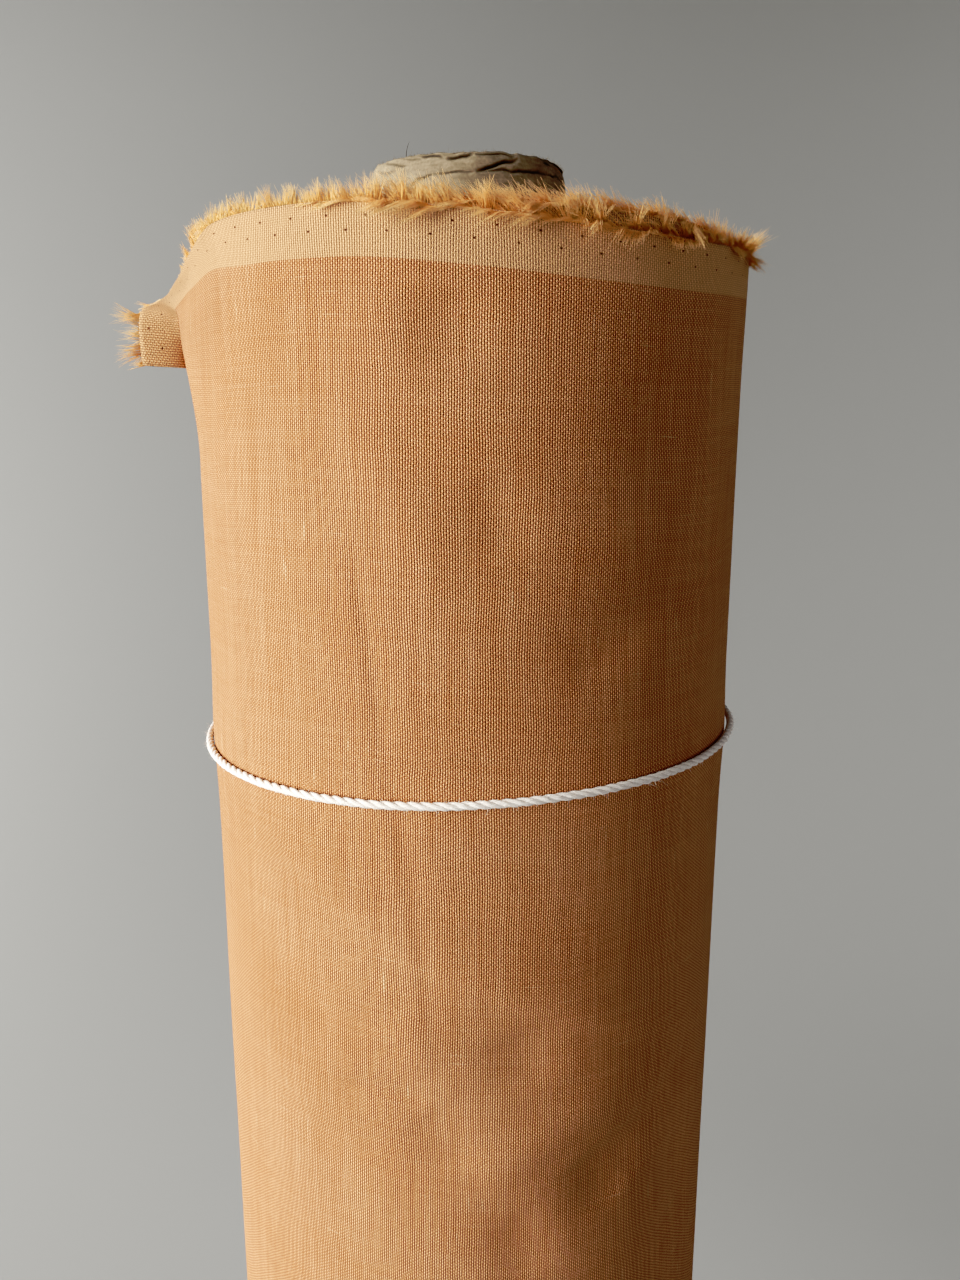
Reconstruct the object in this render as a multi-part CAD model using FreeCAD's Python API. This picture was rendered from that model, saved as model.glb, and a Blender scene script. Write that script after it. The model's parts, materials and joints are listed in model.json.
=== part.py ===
import FreeCAD, Part
import math
import os

from FreeCAD import Placement, Rotation, Vector

# A bolt of linen: cloth wound on a spiral-wound cardboard core and held by two string ties.
# Millimetres. +Z runs up the core's axis, and the origin is the centre of the core's lower end.

# Core: one liner ply, the board plies and a kraft cover ply, all glued together
core_length = 1500.0
core_bore_r = 25.5
core_outer_r = 29.5
face_ply = 0.4

# Cloth: 1450 wide, wound to 84 radius; the last turn is loose and has slipped down a little
cloth_width = 1450.0
roll_r = 84.0
last_turn_thick = 0.6
last_turn_drop = 3.0
wound_low = 30.0
free_end_angle = 169.0  # seen from above, anticlockwise from +X: just behind the left side
free_end_gap = 1.2

# Tape strips that hold the first edge of the cloth to the core
tape_thick = 0.2
tape_width = 48.0
tape_wrap = 80.0  # degrees round the core
tape_levels = (120.0, 755.0, 1390.0)

# Corner of the last turn, flared outwards under the upper selvedge
corner_front = -14.0
corner_back = 18.0
corner_outline = ((-78.0, 1441.5), (-94.0, 1441.5), (-105.5, 1444.0), (-105.5, 1458.0),
                  (-99.0, 1462.5), (-89.0, 1470.0), (-84.0, 1477.0), (-78.0, 1480.0))

# String ties: 2.4 twisted cotton, each a loop round the roll with its knot at the back
string_d = 2.4
tie_clearance = 0.4
knot_d = 4.4
knot_half_length = 2.5
knot_stand_off = 0.9  # knot's axis outside the loop's
tail_route = ((1.6, 0.0), (7.0, -9.0), (8.0, -25.0))  # across and up, from the knot's middle
tail_turn = 8.0  # radius of the tail's one bend
upper_tie_level = 1331.0
lower_tie_level = 172.0
upper_tie_lean = (0.030, -0.017)  # rise per mm along +X and along +Y
lower_tie_lean = (-0.018, 0.012)


def tube(outer_r, inner_r, low, high):
    """Wall between two radii, from one level to another."""
    outside = Part.makeCylinder(outer_r, high - low, Vector(0, 0, low))
    inside = Part.makeCylinder(inner_r, high - low, Vector(0, 0, low))
    return outside.cut(inside)


def tube_arc(outer_r, inner_r, low, high, middle_angle, wrap):
    """Part of a tube wall, wrap degrees long and centred on middle_angle."""
    height = high - low
    outside = Part.makeCylinder(outer_r, height, Vector(0, 0, low), Vector(0, 0, 1), wrap)
    inside = Part.makeCylinder(inner_r, height, Vector(0, 0, low), Vector(0, 0, 1), wrap)
    wall = outside.cut(inside)
    wall.rotate(Vector(0, 0, 0), Vector(0, 0, 1), middle_angle - wrap / 2)
    return wall


def core_plies():
    """The three layers of the core's wall, from the bore outwards."""
    board_inner_r = core_bore_r + face_ply
    board_outer_r = core_outer_r - face_ply
    return {
        "core_liner_ply": tube(board_inner_r, core_bore_r, 0, core_length),
        "core_board": tube(board_outer_r, board_inner_r, 0, core_length),
        "core_cover_ply": tube(core_outer_r, board_outer_r, 0, core_length),
    }


def start_tape():
    """Curved strips on the core, one at each level."""
    strips = [tube_arc(core_outer_r + tape_thick, core_outer_r, level - tape_width / 2,
                       level + tape_width / 2, free_end_angle, tape_wrap)
              for level in tape_levels]
    return Part.makeCompound(strips)


def wound_cloth(tape):
    """Every turn but the last, as one solid, with room for the tape at its inside."""
    inner_turns = tube(roll_r - last_turn_thick, core_outer_r, wound_low, wound_low + cloth_width)
    return inner_turns.cut(tape)


def last_turn():
    """One layer round the roll, with the gap where the cloth's free end stops."""
    low = wound_low - last_turn_drop
    gap_wrap = math.degrees(free_end_gap / roll_r)
    layer = tube_arc(roll_r, roll_r - last_turn_thick, low, low + cloth_width,
                     free_end_angle - 180.0, 360.0 - gap_wrap)
    return layer


def loose_corner():
    """The flared corner as one plain solid that meets the last turn's outside."""
    points = [Vector(x, corner_front, z) for x, z in corner_outline]
    outline = Part.Face(Part.makePolygon(points + points[:1]))
    block = outline.extrude(Vector(0, corner_back - corner_front, 0))
    roll = Part.makeCylinder(roll_r, core_length)
    return block.cut(roll)


def knot_body(depth):
    """Rounded bar lying across the back of the roll, its axis at the given depth."""
    half = Vector(knot_half_length, 0, 0)
    middle = Vector(0, depth, 0)
    bar = Part.makeCylinder(knot_d / 2, 2 * knot_half_length, middle - half, Vector(1, 0, 0))
    ends = [Part.makeSphere(knot_d / 2, middle + half), Part.makeSphere(knot_d / 2, middle - half)]
    return bar.multiFuse(ends).removeSplitter()


def string_tail(side, depth):
    """Short string end from the knot: two straight runs joined by one tangent arc."""
    start, corner, end = [Vector(side * across, depth, up) for across, up in tail_route]
    first_run = (corner - start).normalize()
    last_run = (end - corner).normalize()
    half_turn = first_run.getAngle(last_run) / 2
    setback = tail_turn * math.tan(half_turn)
    arc_start = corner - first_run * setback
    arc_end = corner + last_run * setback
    towards_centre = (last_run - first_run).normalize()
    centre = corner + towards_centre * (tail_turn / math.cos(half_turn))
    arc_middle = centre - towards_centre * tail_turn
    path = Part.Wire([
        Part.LineSegment(start, arc_start).toShape(),
        Part.Arc(arc_start, arc_middle, arc_end).toShape(),
        Part.LineSegment(arc_end, end).toShape(),
    ])
    section = Part.Wire([Part.Circle(start, first_run, string_d / 2).toShape()])
    return path.makePipeShell([section], True, False)


def tie(level, lean):
    """Loop and knot of one tie, leaned as it sits on the roll."""
    ring_r = roll_r + tie_clearance + string_d / 2
    knot_depth = ring_r + knot_stand_off
    knot = knot_body(knot_depth)
    loop = Part.makeTorus(ring_r, string_d / 2).cut(knot)
    for side in (-1, 1):
        knot = knot.fuse(string_tail(side, knot_depth))
    up_normal = Vector(-lean[0], -lean[1], 1.0)
    seat = Placement(Vector(0, 0, level), Rotation(Vector(0, 0, 1), up_normal))
    loop.Placement = seat.multiply(loop.Placement)
    knot.Placement = seat.multiply(knot.Placement)
    return loop, knot


def all_nodes():
    """Every sub-part of the bolt, by node name."""
    nodes = core_plies()
    nodes["start_tape"] = start_tape()
    nodes["wound_cloth"] = wound_cloth(nodes["start_tape"])
    nodes["last_turn"] = last_turn()
    nodes["loose_corner"] = loose_corner()
    nodes["upper_tie"], nodes["upper_tie_knot"] = tie(upper_tie_level, upper_tie_lean)
    nodes["lower_tie"], nodes["lower_tie_knot"] = tie(lower_tie_level, lower_tie_lean)
    return nodes


os.makedirs("parts", exist_ok=True)
for node, shape in all_nodes().items():
    shape.exportStep(os.path.join("parts", node + ".step"))
    box = shape.BoundBox
    print("%-16s solids %d  valid %s  %.1f cm3  x %.1f..%.1f  y %.1f..%.1f  z %.1f..%.1f" % (
        node, len(shape.Solids), shape.isValid(), shape.Volume / 1000.0,
        box.XMin, box.XMax, box.YMin, box.YMax, box.ZMin, box.ZMax))
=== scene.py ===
import json
import math
from functools import partial

import bmesh
import bpy
import numpy as np
from mathutils import Euler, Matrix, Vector


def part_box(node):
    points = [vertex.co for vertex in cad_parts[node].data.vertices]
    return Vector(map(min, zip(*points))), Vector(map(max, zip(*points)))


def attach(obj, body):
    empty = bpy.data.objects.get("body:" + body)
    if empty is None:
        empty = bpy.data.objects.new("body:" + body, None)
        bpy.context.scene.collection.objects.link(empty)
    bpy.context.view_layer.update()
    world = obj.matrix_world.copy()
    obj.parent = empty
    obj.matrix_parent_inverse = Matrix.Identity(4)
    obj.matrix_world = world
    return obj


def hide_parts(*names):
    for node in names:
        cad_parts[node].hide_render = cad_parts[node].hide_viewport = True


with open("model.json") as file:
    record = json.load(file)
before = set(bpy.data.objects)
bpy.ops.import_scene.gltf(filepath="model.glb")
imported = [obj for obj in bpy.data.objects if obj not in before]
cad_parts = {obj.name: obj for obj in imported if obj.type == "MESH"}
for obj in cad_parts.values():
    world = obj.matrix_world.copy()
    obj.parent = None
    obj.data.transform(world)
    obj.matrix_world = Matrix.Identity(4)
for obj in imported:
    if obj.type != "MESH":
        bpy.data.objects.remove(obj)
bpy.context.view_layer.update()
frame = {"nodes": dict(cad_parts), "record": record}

# A bolt of linen on a cardboard core, tied with cotton string. Lengths here are in millimetres and
# become metres when a mesh is made. Angles round the roll are in degrees from its front (-Y),
# positive towards +X.

mm = 0.001


def nodeBox(node):
    # lowest and highest corner of a CAD node, in mm
    low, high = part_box(node)
    return np.array(low) / mm, np.array(high) / mm


def linearColour(hexColour):
    # sRGB hex to linear RGBA
    values = [int(hexColour[i:i + 2], 16) / 255 for i in (1, 3, 5)]
    linear = [v / 12.92 if v <= 0.04045 else ((v + 0.055) / 1.055) ** 2.4 for v in values]
    return (*linear, 1.0)


def smoothStep(low, high, x):
    # 0 below low and 1 above high, with 3t^2 - 2t^3 between
    t = np.clip((x - low) / (high - low), 0, 1)
    return t * t * (3 - 2 * t)


def onRoll(angle, radius, level):
    # point at an angle (degrees) round the axis: x = r sin a, y = -r cos a
    a = np.radians(angle)
    return np.stack(np.broadcast_arrays(radius * np.sin(a), -radius * np.cos(a), level), -1)


def softCurve(angles, values, at):
    # cubic curve through a few points, with level ends
    at = np.asarray(at, float)
    angles, values = np.array(angles, float), np.array(values, float)
    slopes = np.gradient(values, angles)
    slopes[[0, -1]] = 0
    i = np.clip(np.searchsorted(angles, at) - 1, 0, len(angles) - 2)
    gap = angles[i + 1] - angles[i]
    t = np.clip((at - angles[i]) / gap, 0, 1)
    return ((2 * t ** 3 - 3 * t ** 2 + 1) * values[i] + (t ** 3 - 2 * t ** 2 + t) * gap * slopes[i]
            + (3 * t ** 2 - 2 * t ** 3) * values[i + 1] + (t ** 3 - t ** 2) * gap * slopes[i + 1])


def waveNoise(x, y, seed, scale, count=14):
    # smooth noise on a plane: the sum of count sine waves of random direction and of lengths near
    # scale, divided by the root of count, so about 1 high
    random = np.random.default_rng(seed)
    total = np.zeros(np.broadcast(x, y).shape)
    for _ in range(count):
        direction = random.uniform(0, 2 * math.pi)
        length = scale * random.uniform(0.6, 1.8)
        phase = random.uniform(0, 2 * math.pi)
        total += np.sin((x * math.cos(direction) + y * math.sin(direction)) * 2 * math.pi / length
                        + phase)
    return total / math.sqrt(count)


def routeBell(x, y, route, widths):
    # 1 on a route of two straight runs, falling off as exp(-(distance/width)^2) with its own width
    # on either side, and fading towards both ends of the route
    nearest, along, side = np.full(x.shape, 1e9), np.zeros(x.shape), np.zeros(x.shape)
    for run in (0, 1):
        (startX, startY), (endX, endY) = route[run], route[run + 1]
        runX, runY = endX - startX, endY - startY
        gapX, gapY = x - startX, y - startY
        t = np.clip((gapX * runX + gapY * runY) / (runX ** 2 + runY ** 2), 0, 1)
        square = (gapX - t * runX) ** 2 + (gapY - t * runY) ** 2
        closer = square < nearest
        nearest = np.where(closer, square, nearest)
        along = np.where(closer, run + t, along)
        side = np.where(closer, runX * gapY - runY * gapX, side)
    width = np.where(side > 0, widths[0], widths[1])
    return (1 - 0.75 * (along - 1) ** 4) * np.exp(-nearest / width ** 2)


def makePiece(name, points, faces, materials, uv=None, tone=None, faceMaterial=None, merge=False):
    # points in mm, faces as arrays of quads or triangles
    mesh = bpy.data.meshes.new(name)
    points = np.asarray(points, float).reshape(-1, 3)
    faces = [np.asarray(f, np.int32) for f in (faces if isinstance(faces, list) else [faces])]
    corners = np.concatenate([f.ravel() for f in faces])
    counts = np.concatenate([np.full(len(f), f.shape[1]) for f in faces])
    mesh.vertices.add(len(points))
    mesh.vertices.foreach_set("co", (points * mm).astype(np.float32).ravel())
    mesh.loops.add(len(corners))
    mesh.loops.foreach_set("vertex_index", corners)
    mesh.polygons.add(len(counts))
    mesh.polygons.foreach_set("loop_start", np.concatenate([[0], np.cumsum(counts)[:-1]]))
    mesh.polygons.foreach_set("use_smooth", np.ones(len(counts), bool))
    for material in materials:
        mesh.materials.append(material)
    if faceMaterial is not None:
        mesh.polygons.foreach_set("material_index", faceMaterial)
    mesh.update(calc_edges=True)
    if uv is not None:
        layer = mesh.uv_layers.new(name="cloth")
        flat = np.asarray(uv, float).reshape(-1, 2)[corners] * mm
        layer.data.foreach_set("uv", flat.astype(np.float32).ravel())
    if tone is not None:
        attribute = mesh.attributes.new("tone", "FLOAT_COLOR", "POINT")
        values = np.asarray(tone, float).reshape(len(points), -1)
        filled = np.ones((len(points), 4))
        filled[:, :values.shape[1]] = values
        attribute.data.foreach_set("color", filled.astype(np.float32).ravel())
    if merge:
        work = bmesh.new()
        work.from_mesh(mesh)
        bmesh.ops.remove_doubles(work, verts=work.verts, dist=1e-6)
        work.to_mesh(mesh)
        work.free()
    mesh.validate()
    piece = bpy.data.objects.new(name, mesh)
    bpy.context.scene.collection.objects.link(piece)
    return piece


def gridFaces(rows, columns, wrapColumns=False, flip=False, start=0):
    # quads of a grid whose points are stored row by row
    i = np.arange(rows - 1)[:, None]
    j = np.arange(columns if wrapColumns else columns - 1)[None, :]
    nextI, nextJ = i + 1, (j + 1) % columns
    quads = np.stack(np.broadcast_arrays(i * columns + j, i * columns + nextJ,
                                         nextI * columns + nextJ, nextI * columns + j), -1)
    quads = quads.reshape(-1, 4) + start
    return quads[:, ::-1] if flip else quads


def unit(vectors):
    # the same directions, one long
    return vectors / np.maximum(np.linalg.norm(vectors, axis=-1, keepdims=True), 1e-9)


def strandPiece(name, material, roots, heading, bend, length, radius, tone, rings=4):
    # tapering three-sided hairs: root + heading*L*t + bend*L*t^2, pointed at the tip
    count = len(roots)
    t = np.linspace(0, 1, rings)
    t[-1] = 0.94
    reach = length[:, None, None]
    centre = (roots[:, None] + heading[:, None] * reach * t[:, None]
              + bend[:, None] * reach * t[:, None] ** 2)
    side = unit(np.cross(heading, np.array([0.31, 0.77, 0.55])))
    other = unit(np.cross(heading, side))
    around = np.radians([0, 120, 240])
    ring = side[:, None] * np.cos(around)[:, None] + other[:, None] * np.sin(around)[:, None]
    width = radius[:, None] * (1 - 0.8 * t ** 1.5)
    skin = centre[:, :, None] + ring[:, None] * width[:, :, None, None]
    tip = roots + heading * length[:, None] + bend * length[:, None]
    perHair = rings * 3 + 1
    points = np.concatenate([skin.reshape(count, -1, 3), tip[:, None]], 1)
    hair = gridFaces(rings, 3, wrapColumns=True)
    last = (rings - 1) * 3
    caps = np.array([[last, last + 1, perHair - 1], [last + 1, last + 2, perHair - 1],
                     [last + 2, last, perHair - 1], [2, 1, 0]])
    offset = (np.arange(count) * perHair)[:, None, None]
    along = np.concatenate([np.repeat(t, 3), [1.0]])
    shade = np.stack(np.broadcast_arrays(tone[:, None], along[None, :],
                                         np.zeros((count, perHair))), -1)
    return makePiece(name, points, [(hair[None] + offset).reshape(-1, 4),
                                    (caps[None] + offset).reshape(-1, 3)],
                     [material], tone=shade.reshape(-1, 3))


def finishPiece(piece, body, replaced=()):
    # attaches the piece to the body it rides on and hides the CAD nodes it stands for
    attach(piece, body)
    if replaced:
        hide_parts(*replaced)
    triangles = sum(len(p.vertices) - 2 for p in piece.data.polygons)
    print(piece.name, "triangles", triangles)
    return piece


def addNode(tree, kind, inputs=(), out=0, **settings):
    # adds a shader node, sets its settings, fills or links its inputs (in order, or by name in a
    # dictionary) and returns one output
    node = tree.nodes.new("ShaderNode" + kind)
    for name, value in settings.items():
        setattr(node, name, value)
    for key, value in inputs.items() if isinstance(inputs, dict) else enumerate(inputs):
        if isinstance(value, bpy.types.NodeSocket):
            tree.links.new(value, node.inputs[key])
        else:
            node.inputs[key].default_value = value
    return node.outputs[out]


def newMaterial(name):
    # an empty material with one Principled shader
    material = bpy.data.materials.new(name)
    material.use_nodes = True
    tree = material.node_tree
    tree.nodes.clear()
    output = tree.nodes.new("ShaderNodeOutputMaterial")
    shader = tree.nodes.new("ShaderNodeBsdfPrincipled")
    tree.links.new(shader.outputs[0], output.inputs["Surface"])
    return material, tree, shader


# where two values are given, the first is of the weft yarns and the second of the warp yarns
linen = {
    "pitch": (0.67, 0.53),         # mm; real 0.62 and 0.48, drawn coarser so that yarns show
    "toneStep": (7.31, 5.77),      # how far apart neighbouring yarns lie in the tone noise
    "toneRun": (0.025, 0.030),     # how fast the tone changes along a yarn, per mm
    "slubStep": (3.17, 4.41),      # the same two for the slubs
    "slubRun": (0.09, 0.10),
    "slubFrom": (0.84, 0.83),      # noise above this is a slub
    "thinPower": (0.95, 1.3),      # power of the sine in a thin yarn, and in a thick, fuller one
    "thickPower": (0.7, 1.0),
    "slubPower": (0.4, 0.6),       # how much a slub takes off it
    "crown": ((0.27, 0.73), (-0.32, 0.50)),   # height: share of the crossing, plus a level part
    "clothWidth": 1450.0,
    "selvedge": 12.4,              # width of the dense edge strip
    "pinRows": (5.9, 9.2),         # pin holes, mm from the strip's inner side
    "pinPitch": 10.3,
    "deepYarn": "#DF9760",
    "yarn": "#FFC08C",
    "slubYarn": "#FAC795",
    # the dark colour in the gaps between yarns is painted shade
    "poreShade": "#64290A",
    "selvedgeYarn": "#EDBB88",
    # the dark colour of the pin holes is painted shade
    "holeShade": "#57280B",
}


def linenMaterial():
    # Plain-woven linen, piece-dyed apricot: matt, slightly hairy yarns, thick and thin stretches of
    # yarn (slubs), and a paler dense selvedge with stenter pin holes.
    # Height = larger of |sin(pi x/weft)| and |sin(pi y/warp)|, each to a power, then raised or
    # lowered by the product of the two sines (over, under); x and y are first moved by a slow and a
    # quick noise.
    material, tree, shader = newMaterial("linenPlainWeave")
    add = partial(addNode, tree)
    colour = {key: linearColour(value) for key, value in linen.items() if isinstance(value, str)}

    # x runs round the roll and y up the cloth, both in mm
    uv = add("UVMap", uv_map="cloth")
    place = add("VectorMath", (uv, (1000, 1000, 0)), operation="MULTIPLY")
    across = add("SeparateXYZ", (place,))
    along = add("SeparateXYZ", (place,), out=1)
    slowNoise = add("TexNoise", {"Vector": place, "Scale": 0.03, "Detail": 1.0}, out=1,
                    noise_dimensions="2D")
    slow = add("VectorMath", (slowNoise, (1.6, 1.3, 0)), operation="MULTIPLY")
    quickNoise = add("TexNoise", {"Vector": place, "Scale": 0.25, "Detail": 1.0}, out=1,
                     noise_dimensions="2D")
    shift = add("VectorMath", (quickNoise, (0.26, 0.2, 0), slow), operation="MULTIPLY_ADD")
    moved = add("VectorMath", (place, shift), operation="ADD")
    counts = add("VectorMath", (moved, (*linen["pitch"], 1)), operation="DIVIDE")

    # each yarn's tone changes slowly along it; slubs come from a second, rarer noise
    sines, tones, slubs, bodies = [], [], [], []
    for way, run in enumerate((along, across)):
        count = add("SeparateXYZ", (counts,), out=way)
        index = add("Math", (count,), operation="FLOOR")
        turned = add("Math", (count, math.pi), operation="MULTIPLY")
        sine = add("Math", (turned,), operation="SINE")
        spots = []
        for step, speed in (("toneStep", "toneRun"), ("slubStep", "slubRun")):
            row = add("Math", (index, linen[step][way]), operation="MULTIPLY")
            reach = add("Math", (run, linen[speed][way]), operation="MULTIPLY")
            spots.append(add("CombineXYZ", (row, reach) if way == 0 else (reach, row)))
        tone = add("TexNoise", {"Vector": spots[0], "Scale": 1.0, "Detail": 2.0},
                   noise_dimensions="2D")
        slubNoise = add("TexNoise", {"Vector": spots[1], "Scale": 1.0, "Detail": 0.0},
                        noise_dimensions="2D")
        slub = add("MapRange", (slubNoise, linen["slubFrom"][way], 0.95))
        power = add("MapRange", (tone, 0.3, 0.7, linen["thinPower"][way], linen["thickPower"][way]))
        fuller = add("Math", (slub, linen["slubPower"][way]), operation="MULTIPLY")
        power = add("Math", (power, fuller), operation="SUBTRACT")
        size = add("Math", (sine,), operation="ABSOLUTE")
        bodies.append(add("Math", (size, power), operation="POWER"))
        sines.append(sine)
        tones.append(tone)
        slubs.append(slub)
    crossing = add("Math", sines, operation="MULTIPLY")
    tops = []
    for body, crown in zip(bodies, linen["crown"]):
        over = add("Math", (crossing, *crown), operation="MULTIPLY_ADD")
        tops.append(add("Math", (body, over), operation="MULTIPLY"))
    top = add("Math", tops, operation="MAXIMUM")

    # selvedge: the last millimetres at both sides of the cloth; its pores are nearly closed
    otherSide = add("Math", (linen["clothWidth"], along), operation="SUBTRACT")
    edgeGap = add("Math", (otherSide, along), operation="MINIMUM")
    strip = add("MapRange", (edgeGap, linen["selvedge"] + 0.15, linen["selvedge"] - 0.15))
    openYarn = add("MapRange", (top, 0.36, 0.84))
    denseYarn = add("Math", (openYarn, 0.72, 0.28), operation="MULTIPLY_ADD")
    inStrip = add("Math", (strip, denseYarn), operation="MULTIPLY")
    yarnShare = add("Math", (openYarn, inStrip), operation="MAXIMUM")

    # tone of the cloth: yarns and a cloud about 50 mm wide, which vary at random, plus a painted
    # highlight that makes the weft crowns the palest
    yarnTone = add("Math", (tones[0], 1.5, tones[1]), operation="MULTIPLY_ADD")
    cloud = add("TexNoise", {"Vector": place, "Scale": 0.02, "Detail": 3.0}, noise_dimensions="2D")
    clouded = add("Math", (yarnTone, cloud), operation="ADD")
    # painted highlight: the crossing term lifts the raised weft crowns towards the pale yarn colour
    toneAndCrownHighlight = add("Math", (crossing, 0.75, clouded), operation="MULTIPLY_ADD")
    paleShare = add("MapRange", (toneAndCrownHighlight, 0.9, 2.6))
    plain = add("Mix", {"Factor": paleShare, 6: colour["deepYarn"], 7: colour["yarn"]}, out=2,
                data_type="RGBA")
    weftOver = add("Math", tops, operation="GREATER_THAN")
    raised = add("Math", (tops[1], 0.15), operation="ADD")
    warpOver = add("Math", (tops[0], raised), operation="LESS_THAN")
    weftSlub = add("Math", (slubs[0], weftOver), operation="MULTIPLY")
    warpSlub = add("Math", (slubs[1], warpOver), operation="MULTIPLY")
    slubShare = add("Math", (weftSlub, warpSlub), operation="MAXIMUM")
    slubbed = add("Mix", {"Factor": slubShare, 6: plain, 7: colour["slubYarn"]}, out=2,
                  data_type="RGBA")
    edgeShare = add("Math", (strip, 0.85), operation="MULTIPLY")
    edged = add("Mix", {"Factor": edgeShare, 6: slubbed, 7: colour["selvedgeYarn"]}, out=2,
                data_type="RGBA")
    # yarns over the painted-shade colour of the pores, which shows most where the weave is lowest
    woven = add("Mix", {"Factor": yarnShare, 6: colour["poreShade"], 7: edged}, out=2, data_type="RGBA")

    # pin holes: two rows, half a pitch apart; each is painted dark with the shade inside the hole
    # where the distance to it is small
    holes = 0.0
    for row, stagger in zip(linen["pinRows"], (0.0, 0.5)):
        shifted = add("Math", (across, linen["pinPitch"] * stagger), operation="ADD")
        folded = add("Math", (shifted, linen["pinPitch"]), operation="PINGPONG")
        gapX = add("Math", (folded, linen["pinPitch"] / 2), operation="SUBTRACT")
        rowGap = add("Math", (edgeGap, linen["selvedge"] - row), operation="SUBTRACT")
        gapY = add("Math", (rowGap, 1.6), operation="MULTIPLY")
        gap = add("CombineXYZ", (gapX, gapY))
        distance = add("VectorMath", (gap,), out=1, operation="LENGTH")
        holeShade = add("MapRange", (distance, 0.50, 0.22))
        holes = add("Math", (holes, holeShade), operation="MAXIMUM")
    holed = add("Mix", {"Factor": holes, 6: woven, 7: colour["holeShade"]}, out=2, data_type="RGBA")
    tree.links.new(holed, shader.inputs["Base Color"])
    height = add("Math", (top, holes), operation="SUBTRACT")
    bump = add("Bump", {"Height": height, "Strength": 1.0, "Distance": 0.00045})
    tree.links.new(bump, shader.inputs["Normal"])
    shader.inputs["Roughness"].default_value = 0.88
    shader.inputs["Specular IOR Level"].default_value = 0.22
    shader.inputs["Sheen Weight"].default_value = 0.15
    shader.inputs["Sheen Roughness"].default_value = 0.5
    shader.inputs["Sheen Tint"].default_value = linearColour("#FFDDB8")
    return material


def fringeMaterial():
    # Cut weft ends of the same linen: loose fibres, deeper in colour at the root, pale at the tip;
    # both colours are raised as a painted glow that stands in for light shining through the thin
    # fibres.
    # The piece's tone attribute holds each fibre's own tone and the share of its length.
    material, tree, shader = newMaterial("linenCutFringe")
    add = partial(addNode, tree)
    mark = add("VertexColor", layer_name="tone")
    fibreTone = add("SeparateColor", (mark,))
    alongFibre = add("SeparateColor", (mark,), out=1)
    # painted glow: these fibre colours are raised to stand in for light shining through them
    body = add("Mix", {"Factor": fibreTone, 6: linearColour("#F3A040"), 7: linearColour("#FDCB82")},
               out=2, data_type="RGBA")
    tipShare = add("MapRange", (alongFibre, 0.35, 1.0, 0.0, 0.55))
    tipped = add("Mix", {"Factor": tipShare, 6: body, 7: linearColour("#FFE2B0")}, out=2,
                 data_type="RGBA")
    tree.links.new(tipped, shader.inputs["Base Color"])
    shader.inputs["Roughness"].default_value = 0.6
    shader.inputs["Sheen Weight"].default_value = 0.3
    shader.inputs["Sheen Tint"].default_value = linearColour("#FFE0B8")
    return material


def layerEndMaterial():
    # Ends of the wound layers: cut cloth edges, in shade between their fringes, with specks of
    # about 1 mm
    material, tree, shader = newMaterial("linenLayerEnds")
    add = partial(addNode, tree)
    place = add("TexCoord", out="Object")
    speck = add("TexNoise", {"Vector": place, "Scale": 900.0, "Detail": 3.0})
    share = add("MapRange", (speck, 0.3, 0.7))
    colour = add("Mix", {"Factor": share, 6: linearColour("#B4611F"), 7: linearColour("#E49A55")},
                 out=2, data_type="RGBA")
    tree.links.new(colour, shader.inputs["Base Color"])
    bump = add("Bump", {"Height": speck, "Strength": 0.5, "Distance": 0.0006})
    tree.links.new(bump, shader.inputs["Normal"])
    shader.inputs["Roughness"].default_value = 0.9
    return material


def kraftMaterial(name, dark, light, lined=False):
    # Kraft board, spiral wound: matt grey-brown paper with flecks and fibres of 0.3 to 1 mm and
    # clouds of about 9 mm. Colour share = fleck + fibre + cloud, each a noise.
    material, tree, shader = newMaterial(name)
    add = partial(addNode, tree)
    place = add("TexCoord", out="Object")
    fleck = add("TexNoise", {"Vector": place, "Scale": 1400.0, "Detail": 4.0})
    cloud = add("TexNoise", {"Vector": place, "Scale": 110.0, "Detail": 4.0})
    streaked = add("VectorMath", (place, (260, 260, 1500)), operation="MULTIPLY")
    fibre = add("TexNoise", {"Vector": streaked, "Scale": 1.0, "Detail": 3.0})
    grain = add("Math", (fleck, fibre), operation="ADD")
    together = add("Math", (grain, cloud), operation="ADD")
    share = add("MapRange", (together, 1.15, 1.85))
    colour = add("Mix", {"Factor": share, 6: linearColour(dark), 7: linearColour(light)}, out=2,
                 data_type="RGBA")
    if lined:
        # painted shade in the seams and gaps, and the one dark torn fibre, come from the piece's
        # own attribute
        mark = add("VertexColor", layer_name="tone")
        line = add("SeparateColor", (mark,))
        colour = add("Mix", {"Factor": line, 6: colour, 7: linearColour("#2E2314")}, out=2,
                     data_type="RGBA")
    tree.links.new(colour, shader.inputs["Base Color"])
    bump = add("Bump", {"Height": grain, "Strength": 0.4, "Distance": 0.0002})
    tree.links.new(bump, shader.inputs["Normal"])
    shader.inputs["Roughness"].default_value = 0.88
    shader.inputs["Specular IOR Level"].default_value = 0.25
    return material


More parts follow.
